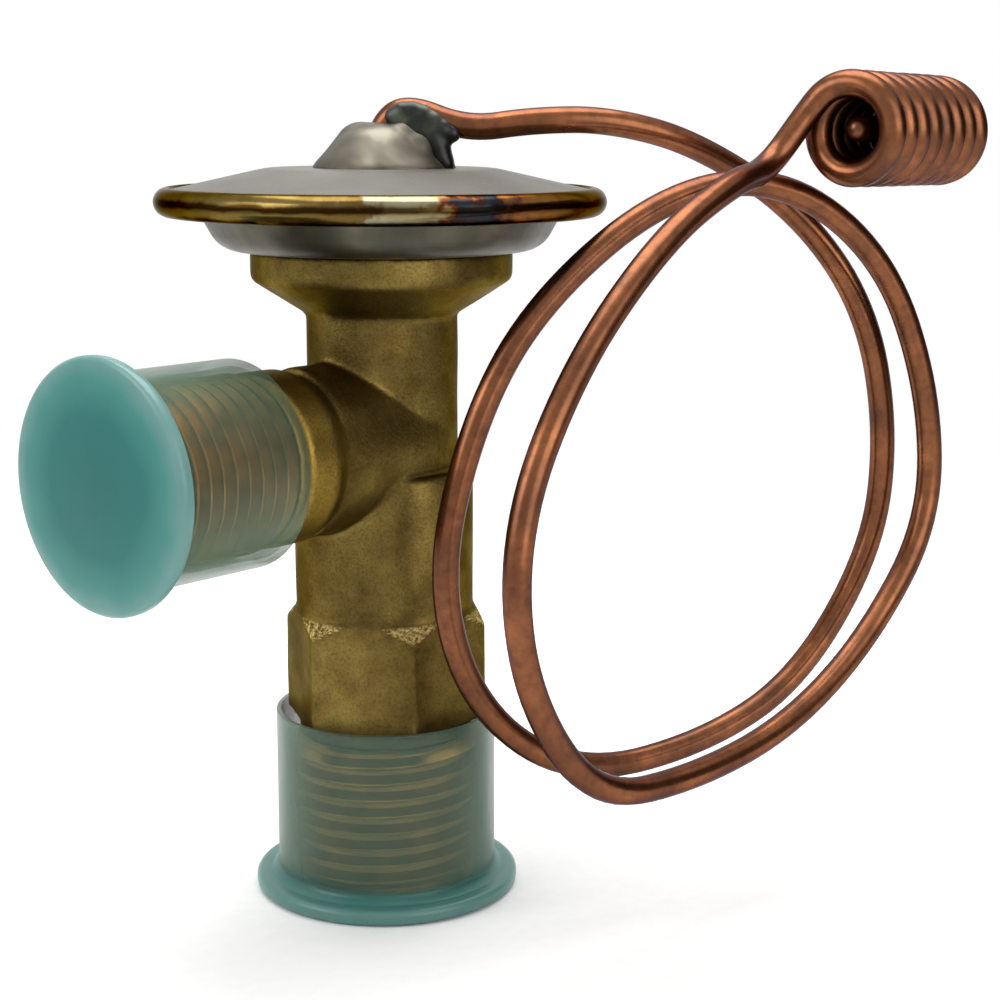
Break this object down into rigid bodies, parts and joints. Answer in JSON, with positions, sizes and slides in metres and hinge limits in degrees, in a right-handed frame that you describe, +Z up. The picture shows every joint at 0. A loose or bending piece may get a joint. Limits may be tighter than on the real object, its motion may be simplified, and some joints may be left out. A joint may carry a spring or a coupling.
{
  "type": "thermostatic expansion valve",
  "caption": "Angle-pattern refrigerant expansion valve: forged brass body, round diaphragm head, coiled copper capillary bulb, push-on caps over both threads.",
  "frame": {"origin": "centre of the outlet cap's underside, on the valve's own axis", "axes": "+Z up the valve's axis from the outlet to the diaphragm head; the inlet points along -X; the capillary's loops lie towards -Y"},
  "size_m": [0.0762, 0.0612, 0.0773],
  "materials": {
    "forged_brass": "shot-blasted forged brass with machined threads",
    "machined_brass": "turned brass",
    "hardened_steel": "ground and polished steel",
    "spring_steel": "drawn spring wire",
    "stainless_sheet": "pressed stainless sheet, dull",
    "heat_tinted_weld": "polished weld bead with straw to blue heat tint",
    "silver_solder": "run silver solder",
    "annealed_copper": "handled copper tube, browned",
    "brass_mesh": "fine woven brass wire",
    "teal_polyethylene": "translucent moulded low-density polyethylene"
  },
  "bodies": {
    "valve": {"valve_body": "forged_brass", "seat_insert": "hardened_steel", "superheat_spring": "spring_steel", "diaphragm": "stainless_sheet", "lower_cup": "stainless_sheet", "upper_cover": "stainless_sheet", "rim_weld": "heat_tinted_weld", "solder_cone": "silver_solder", "capillary_tube": "annealed_copper", "strainer_ring": "machined_brass", "strainer_screen": "brass_mesh", "spring_seat": "machined_brass"},
    "stem": {"thrust_plate": "machined_brass", "push_rod_front": "hardened_steel", "push_rod_back": "hardened_steel", "ball_carrier": "machined_brass", "valve_ball": "hardened_steel"},
    "adjuster": {"adjusting_nut": "machined_brass"},
    "outlet_cover": {"outlet_cap": "teal_polyethylene"},
    "inlet_cover": {"inlet_cap": "teal_polyethylene"}
  },
  "joints": [
    {"name": "valve_stroke", "type": "slide", "parent": "valve", "child": "stem", "axis": [0, 0, -1], "range_m": [0, 0.0007], "stiffness_N_per_m": 400, "springref_m": -0.0025, "deforming": ["superheat_spring"]},
    {"name": "adjuster_turn", "type": "hinge", "parent": "valve", "child": "adjuster", "pos_m": [0, 0, 0.0105], "axis": [0, 0, 1], "range_deg": [-180, 180]},
    {"name": "outlet_cap_pull", "type": "slide", "parent": "valve", "child": "outlet_cover", "axis": [0, 0, -1], "range_m": [0, 0.04]},
    {"name": "inlet_cap_pull", "type": "slide", "parent": "valve", "child": "inlet_cover", "axis": [-1, 0, 0], "range_m": [0, 0.04]}
  ]
}
